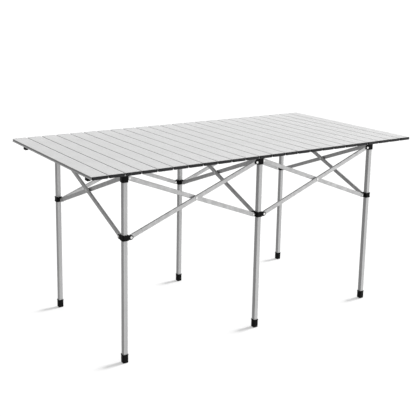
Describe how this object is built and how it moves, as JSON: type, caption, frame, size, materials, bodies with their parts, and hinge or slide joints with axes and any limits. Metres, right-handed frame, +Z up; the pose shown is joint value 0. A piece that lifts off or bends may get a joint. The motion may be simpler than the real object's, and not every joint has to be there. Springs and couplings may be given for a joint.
{
  "type": "folding picnic table",
  "caption": "Long roll-top picnic table: hollow aluminium slats on square tube legs joined by folding scissor bars.",
  "frame": {"origin": "on the ground under the middle of the top", "axes": "+Z up, +X along the length of the top, -Y towards the front row of legs"},
  "size_m": [1.3994, 0.7, 0.68],
  "materials": {
    "slat_aluminium": "brushed, clear anodised",
    "frame_aluminium": "satin, clear anodised",
    "black_plastic": "moulded, lightly textured",
    "elastic_cord": "braided"
  },
  "bodies": {
    "slat_01": {"slat_01": "slat_aluminium", "end_clips": "black_plastic", "elastic_cords": "elastic_cord"},
    "slat_02": {"slat_02": "slat_aluminium"},
    "slat_03": {"slat_03": "slat_aluminium"},
    "slat_04": {"slat_04": "slat_aluminium"},
    "slat_05": {"slat_05": "slat_aluminium"},
    "slat_06": {"slat_06": "slat_aluminium"},
    "slat_07": {"slat_07": "slat_aluminium"},
    "slat_08": {"slat_08": "slat_aluminium"},
    "slat_09": {"slat_09": "slat_aluminium"},
    "slat_10": {"slat_10": "slat_aluminium"},
    "slat_11": {"slat_11": "slat_aluminium"},
    "slat_12": {"slat_12": "slat_aluminium"},
    "slat_13": {"slat_13": "slat_aluminium"},
    "slat_14": {"slat_14": "slat_aluminium"},
    "slat_15": {"slat_15": "slat_aluminium"},
    "slat_16": {"slat_16": "slat_aluminium"},
    "slat_17": {"slat_17": "slat_aluminium"},
    "slat_18": {"slat_18": "slat_aluminium"},
    "slat_19": {"slat_19": "slat_aluminium"},
    "slat_20": {"slat_20": "slat_aluminium"},
    "slat_21": {"slat_21": "slat_aluminium"},
    "slat_22": {"slat_22": "slat_aluminium"},
    "slat_23": {"slat_23": "slat_aluminium"},
    "slat_24": {"slat_24": "slat_aluminium"},
    "front_left_leg": {"front_left_leg": "frame_aluminium", "front_left_leg_fittings": "black_plastic"},
    "front_left_collar": {"front_left_collar": "black_plastic"},
    "front_middle_leg": {"front_middle_leg": "frame_aluminium", "front_middle_leg_fittings": "black_plastic"},
    "front_middle_collar": {"front_middle_collar": "black_plastic"},
    "front_right_leg": {"front_right_leg": "frame_aluminium", "front_right_leg_fittings": "black_plastic"},
    "front_right_collar": {"front_right_collar": "black_plastic"},
    "back_left_leg": {"back_left_leg": "frame_aluminium", "back_left_leg_fittings": "black_plastic"},
    "back_left_collar": {"back_left_collar": "black_plastic"},
    "back_middle_leg": {"back_middle_leg": "frame_aluminium", "back_middle_leg_fittings": "black_plastic"},
    "back_middle_collar": {"back_middle_collar": "black_plastic"},
    "back_right_leg": {"back_right_leg": "frame_aluminium", "back_right_leg_fittings": "black_plastic"},
    "back_right_collar": {"back_right_collar": "black_plastic"},
    "front_left_falling_bar": {"front_left_falling_bar": "frame_aluminium"},
    "front_left_rising_bar": {"front_left_rising_bar": "frame_aluminium"},
    "front_right_falling_bar": {"front_right_falling_bar": "frame_aluminium"},
    "front_right_rising_bar": {"front_right_rising_bar": "frame_aluminium"},
    "back_left_falling_bar": {"back_left_falling_bar": "frame_aluminium"},
    "back_left_rising_bar": {"back_left_rising_bar": "frame_aluminium"},
    "back_right_falling_bar": {"back_right_falling_bar": "frame_aluminium"},
    "back_right_rising_bar": {"back_right_rising_bar": "frame_aluminium"},
    "left_cross_falling_bar": {"left_cross_falling_bar": "frame_aluminium"},
    "left_cross_rising_bar": {"left_cross_rising_bar": "frame_aluminium"},
    "middle_cross_falling_bar": {"middle_cross_falling_bar": "frame_aluminium"},
    "middle_cross_rising_bar": {"middle_cross_rising_bar": "frame_aluminium"},
    "right_cross_falling_bar": {"right_cross_falling_bar": "frame_aluminium"},
    "right_cross_rising_bar": {"right_cross_rising_bar": "frame_aluminium"}
  },
  "joints": [
    {"name": "frame_fold", "type": "hinge", "parent": "front_middle_leg", "child": "middle_cross_falling_bar", "pos_m": [0, -0.255, 0.641], "axis": [-1, 0, 0], "range_deg": [0, 65.5]},
    {"name": "middle_cross_crossing", "type": "hinge", "parent": "middle_cross_falling_bar", "child": "middle_cross_rising_bar", "pos_m": [0, 0, 0.542], "axis": [-1, 0, 0], "range_deg": [-131, 0]},
    {"name": "middle_cross_leg_pivot", "type": "hinge", "parent": "middle_cross_rising_bar", "child": "back_middle_leg", "pos_m": [0, 0.255, 0.641], "axis": [-1, 0, 0], "range_deg": [0, 65.5]},
    {"name": "back_middle_collar_pivot", "type": "hinge", "parent": "middle_cross_falling_bar", "child": "back_middle_collar", "pos_m": [0, 0.255, 0.443], "axis": [-1, 0, 0], "range_deg": [-65.5, 0]},
    {"name": "front_left_first_pivot", "type": "hinge", "parent": "front_middle_leg", "child": "front_left_rising_bar", "pos_m": [-0.02, -0.275, 0.641], "axis": [0, 1, 0], "range_deg": [-65.5, 0]},
    {"name": "front_left_crossing", "type": "hinge", "parent": "front_left_rising_bar", "child": "front_left_falling_bar", "pos_m": [-0.275, -0.275, 0.542], "axis": [0, 1, 0], "range_deg": [0, 131]},
    {"name": "front_left_leg_pivot", "type": "hinge", "parent": "front_left_falling_bar", "child": "front_left_leg", "pos_m": [-0.53, -0.275, 0.641], "axis": [0, 1, 0], "range_deg": [-65.5, 0]},
    {"name": "front_left_collar_pivot", "type": "hinge", "parent": "front_left_rising_bar", "child": "front_left_collar", "pos_m": [-0.53, -0.275, 0.443], "axis": [0, 1, 0], "range_deg": [0, 65.5]},
    {"name": "front_right_first_pivot", "type": "hinge", "parent": "front_middle_leg", "child": "front_right_falling_bar", "pos_m": [0.02, -0.275, 0.641], "axis": [0, 1, 0], "range_deg": [0, 65.5]},
    {"name": "front_right_crossing", "type": "hinge", "parent": "front_right_falling_bar", "child": "front_right_rising_bar", "pos_m": [0.275, -0.275, 0.542], "axis": [0, 1, 0], "range_deg": [-131, 0]},
    {"name": "front_right_leg_pivot", "type": "hinge", "parent": "front_right_rising_bar", "child": "front_right_leg", "pos_m": [0.53, -0.275, 0.641], "axis": [0, 1, 0], "range_deg": [0, 65.5]},
    {"name": "front_right_collar_pivot", "type": "hinge", "parent": "front_right_falling_bar", "child": "front_right_collar", "pos_m": [0.53, -0.275, 0.443], "axis": [0, 1, 0], "range_deg": [-65.5, 0]},
    {"name": "back_left_first_pivot", "type": "hinge", "parent": "back_middle_leg", "child": "back_left_rising_bar", "pos_m": [-0.02, 0.275, 0.641], "axis": [0, 1, 0], "range_deg": [-65.5, 0]},
    {"name": "back_left_crossing", "type": "hinge", "parent": "back_left_rising_bar", "child": "back_left_falling_bar", "pos_m": [-0.275, 0.275, 0.542], "axis": [0, 1, 0], "range_deg": [0, 131]},
    {"name": "back_left_leg_pivot", "type": "hinge", "parent": "back_left_falling_bar", "child": "back_left_leg", "pos_m": [-0.53, 0.275, 0.641], "axis": [0, 1, 0], "range_deg": [-65.5, 0]},
    {"name": "back_left_collar_pivot", "type": "hinge", "parent": "back_left_rising_bar", "child": "back_left_collar", "pos_m": [-0.53, 0.275, 0.443], "axis": [0, 1, 0], "range_deg": [0, 65.5]},
    {"name": "back_right_first_pivot", "type": "hinge", "parent": "back_middle_leg", "child": "back_right_falling_bar", "pos_m": [0.02, 0.275, 0.641], "axis": [0, 1, 0], "range_deg": [0, 65.5]},
    {"name": "back_right_crossing", "type": "hinge", "parent": "back_right_falling_bar", "child": "back_right_rising_bar", "pos_m": [0.275, 0.275, 0.542], "axis": [0, 1, 0], "range_deg": [-131, 0]},
    {"name": "back_right_leg_pivot", "type": "hinge", "parent": "back_right_rising_bar", "child": "back_right_leg", "pos_m": [0.53, 0.275, 0.641], "axis": [0, 1, 0], "range_deg": [0, 65.5]},
    {"name": "back_right_collar_pivot", "type": "hinge", "parent": "back_right_falling_bar", "child": "back_right_collar", "pos_m": [0.53, 0.275, 0.443], "axis": [0, 1, 0], "range_deg": [-65.5, 0]},
    {"name": "left_cross_first_pivot", "type": "hinge", "parent": "front_left_leg", "child": "left_cross_falling_bar", "pos_m": [-0.55, -0.255, 0.641], "axis": [-1, 0, 0], "range_deg": [0, 65.5]},
    {"name": "left_cross_crossing", "type": "hinge", "parent": "left_cross_falling_bar", "child": "left_cross_rising_bar", "pos_m": [-0.55, 0, 0.542], "axis": [-1, 0, 0], "range_deg": [-131, 0]},
    {"name": "right_cross_first_pivot", "type": "hinge", "parent": "front_right_leg", "child": "right_cross_falling_bar", "pos_m": [0.55, -0.255, 0.641], "axis": [-1, 0, 0], "range_deg": [0, 65.5]},
    {"name": "right_cross_crossing", "type": "hinge", "parent": "right_cross_falling_bar", "child": "right_cross_rising_bar", "pos_m": [0.55, 0, 0.542], "axis": [-1, 0, 0], "range_deg": [-131, 0]},
    {"name": "front_middle_collar_pivot", "type": "hinge", "parent": "front_right_rising_bar", "child": "front_middle_collar", "pos_m": [0.02, -0.275, 0.443], "axis": [0, 1, 0], "range_deg": [0, 65.5]},
    {"name": "tabletop_lift", "type": "slide", "parent": "front_middle_leg", "child": "slat_01", "axis": [0, 0, 1], "range_m": [0, 0.25]},
    {"name": "tabletop_roll", "type": "hinge", "parent": "slat_01", "child": "slat_02", "pos_m": [-0.64167, 0, 0.68], "axis": [0, -1, 0], "range_deg": [0, 28.13], "deforming": ["elastic_cords"]},
    {"name": "slat_03_roll", "type": "hinge", "parent": "slat_02", "child": "slat_03", "pos_m": [-0.58333, 0, 0.68], "axis": [0, -1, 0], "range_deg": [0, 28.63]},
    {"name": "slat_04_roll", "type": "hinge", "parent": "slat_03", "child": "slat_04", "pos_m": [-0.525, 0, 0.68], "axis": [0, -1, 0], "range_deg": [0, 29.15]},
    {"name": "slat_05_roll", "type": "hinge", "parent": "slat_04", "child": "slat_05", "pos_m": [-0.46667, 0, 0.68], "axis": [0, -1, 0], "range_deg": [0, 29.7]},
    {"name": "slat_06_roll", "type": "hinge", "parent": "slat_05", "child": "slat_06", "pos_m": [-0.40833, 0, 0.68], "axis": [0, -1, 0], "range_deg": [0, 30.29]},
    {"name": "slat_07_roll", "type": "hinge", "parent": "slat_06", "child": "slat_07", "pos_m": [-0.35, 0, 0.68], "axis": [0, -1, 0], "range_deg": [0, 30.91]},
    {"name": "slat_08_roll", "type": "hinge", "parent": "slat_07", "child": "slat_08", "pos_m": [-0.29167, 0, 0.68], "axis": [0, -1, 0], "range_deg": [0, 31.57]},
    {"name": "slat_09_roll", "type": "hinge", "parent": "slat_08", "child": "slat_09", "pos_m": [-0.23333, 0, 0.68], "axis": [0, -1, 0], "range_deg": [0, 32.27]},
    {"name": "slat_10_roll", "type": "hinge", "parent": "slat_09", "child": "slat_10", "pos_m": [-0.175, 0, 0.68], "axis": [0, -1, 0], "range_deg": [0, 33.03]},
    {"name": "slat_11_roll", "type": "hinge", "parent": "slat_10", "child": "slat_11", "pos_m": [-0.11667, 0, 0.68], "axis": [0, -1, 0], "range_deg": [0, 33.83]},
    {"name": "slat_12_roll", "type": "hinge", "parent": "slat_11", "child": "slat_12", "pos_m": [-0.05833, 0, 0.68], "axis": [0, -1, 0], "range_deg": [0, 34.71]},
    {"name": "slat_13_roll", "type": "hinge", "parent": "slat_12", "child": "slat_13", "pos_m": [0, 0, 0.68], "axis": [0, -1, 0], "range_deg": [0, 35.65]},
    {"name": "slat_14_roll", "type": "hinge", "parent": "slat_13", "child": "slat_14", "pos_m": [0.05833, 0, 0.68], "axis": [0, -1, 0], "range_deg": [0, 36.67]},
    {"name": "slat_15_roll", "type": "hinge", "parent": "slat_14", "child": "slat_15", "pos_m": [0.11667, 0, 0.68], "axis": [0, -1, 0], "range_deg": [0, 37.79]},
    {"name": "slat_16_roll", "type": "hinge", "parent": "slat_15", "child": "slat_16", "pos_m": [0.175, 0, 0.68], "axis": [0, -1, 0], "range_deg": [0, 39.02]},
    {"name": "slat_17_roll", "type": "hinge", "parent": "slat_16", "child": "slat_17", "pos_m": [0.23333, 0, 0.68], "axis": [0, -1, 0], "range_deg": [0, 40.38]},
    {"name": "slat_18_roll", "type": "hinge", "parent": "slat_17", "child": "slat_18", "pos_m": [0.29167, 0, 0.68], "axis": [0, -1, 0], "range_deg": [0, 41.89]},
    {"name": "slat_19_roll", "type": "hinge", "parent": "slat_18", "child": "slat_19", "pos_m": [0.35, 0, 0.68], "axis": [0, -1, 0], "range_deg": [0, 43.58]},
    {"name": "slat_20_roll", "type": "hinge", "parent": "slat_19", "child": "slat_20", "pos_m": [0.40833, 0, 0.68], "axis": [0, -1, 0], "range_deg": [0, 45.5]},
    {"name": "slat_21_roll", "type": "hinge", "parent": "slat_20", "child": "slat_21", "pos_m": [0.46667, 0, 0.68], "axis": [0, -1, 0], "range_deg": [0, 47.7]},
    {"name": "slat_22_roll", "type": "hinge", "parent": "slat_21", "child": "slat_22", "pos_m": [0.525, 0, 0.68], "axis": [0, -1, 0], "range_deg": [0, 50.25]},
    {"name": "slat_23_roll", "type": "hinge", "parent": "slat_22", "child": "slat_23", "pos_m": [0.58333, 0, 0.68], "axis": [0, -1, 0], "range_deg": [0, 53.27]},
    {"name": "slat_24_roll", "type": "hinge", "parent": "slat_23", "child": "slat_24", "pos_m": [0.64167, 0, 0.68], "axis": [0, -1, 0], "range_deg": [0, 56.91]}
  ],
  "couplings": [
    {"joint": "middle_cross_crossing", "follows": "frame_fold", "ratio": -2},
    {"joint": "middle_cross_leg_pivot", "follows": "frame_fold", "ratio": 1},
    {"joint": "back_middle_collar_pivot", "follows": "frame_fold", "ratio": -1},
    {"joint": "front_left_first_pivot", "follows": "frame_fold", "ratio": -1},
    {"joint": "front_left_crossing", "follows": "frame_fold", "ratio": 2},
    {"joint": "front_left_leg_pivot", "follows": "frame_fold", "ratio": -1},
    {"joint": "front_left_collar_pivot", "follows": "frame_fold", "ratio": 1},
    {"joint": "front_right_first_pivot", "follows": "frame_fold", "ratio": 1},
    {"joint": "front_right_crossing", "follows": "frame_fold", "ratio": -2},
    {"joint": "front_right_leg_pivot", "follows": "frame_fold", "ratio": 1},
    {"joint": "front_right_collar_pivot", "follows": "frame_fold", "ratio": -1},
    {"joint": "back_left_first_pivot", "follows": "frame_fold", "ratio": -1},
    {"joint": "back_left_crossing", "follows": "frame_fold", "ratio": 2},
    {"joint": "back_left_leg_pivot", "follows": "frame_fold", "ratio": -1},
    {"joint": "back_left_collar_pivot", "follows": "frame_fold", "ratio": 1},
    {"joint": "back_right_first_pivot", "follows": "frame_fold", "ratio": 1},
    {"joint": "back_right_crossing", "follows": "frame_fold", "ratio": -2},
    {"joint": "back_right_leg_pivot", "follows": "frame_fold", "ratio": 1},
    {"joint": "back_right_collar_pivot", "follows": "frame_fold", "ratio": -1},
    {"joint": "left_cross_first_pivot", "follows": "frame_fold", "ratio": 1},
    {"joint": "left_cross_crossing", "follows": "frame_fold", "ratio": -2},
    {"joint": "right_cross_first_pivot", "follows": "frame_fold", "ratio": 1},
    {"joint": "right_cross_crossing", "follows": "frame_fold", "ratio": -2},
    {"joint": "front_middle_collar_pivot", "follows": "frame_fold", "ratio": 1},
    {"joint": "slat_03_roll", "follows": "tabletop_roll", "ratio": 1.0176},
    {"joint": "slat_04_roll", "follows": "tabletop_roll", "ratio": 1.0361},
    {"joint": "slat_05_roll", "follows": "tabletop_roll", "ratio": 1.0557},
    {"joint": "slat_06_roll", "follows": "tabletop_roll", "ratio": 1.0765},
    {"joint": "slat_07_roll", "follows": "tabletop_roll", "ratio": 1.0985},
    {"joint": "slat_08_roll", "follows": "tabletop_roll", "ratio": 1.122},
    {"joint": "slat_09_roll", "follows": "tabletop_roll", "ratio": 1.147},
    {"joint": "slat_10_roll", "follows": "tabletop_roll", "ratio": 1.1738},
    {"joint": "slat_11_roll", "follows": "tabletop_roll", "ratio": 1.2026},
    {"joint": "slat_12_roll", "follows": "tabletop_roll", "ratio": 1.2336},
    {"joint": "slat_13_roll", "follows": "tabletop_roll", "ratio": 1.2671},
    {"joint": "slat_14_roll", "follows": "tabletop_roll", "ratio": 1.3035},
    {"joint": "slat_15_roll", "follows": "tabletop_roll", "ratio": 1.3433},
    {"joint": "slat_16_roll", "follows": "tabletop_roll", "ratio": 1.3869},
    {"joint": "slat_17_roll", "follows": "tabletop_roll", "ratio": 1.4352},
    {"joint": "slat_18_roll", "follows": "tabletop_roll", "ratio": 1.4888},
    {"joint": "slat_19_roll", "follows": "tabletop_roll", "ratio": 1.549},
    {"joint": "slat_20_roll", "follows": "tabletop_roll", "ratio": 1.6172},
    {"joint": "slat_21_roll", "follows": "tabletop_roll", "ratio": 1.6953},
    {"joint": "slat_22_roll", "follows": "tabletop_roll", "ratio": 1.7861},
    {"joint": "slat_23_roll", "follows": "tabletop_roll", "ratio": 1.8933},
    {"joint": "slat_24_roll", "follows": "tabletop_roll", "ratio": 2.0227}
  ]
}
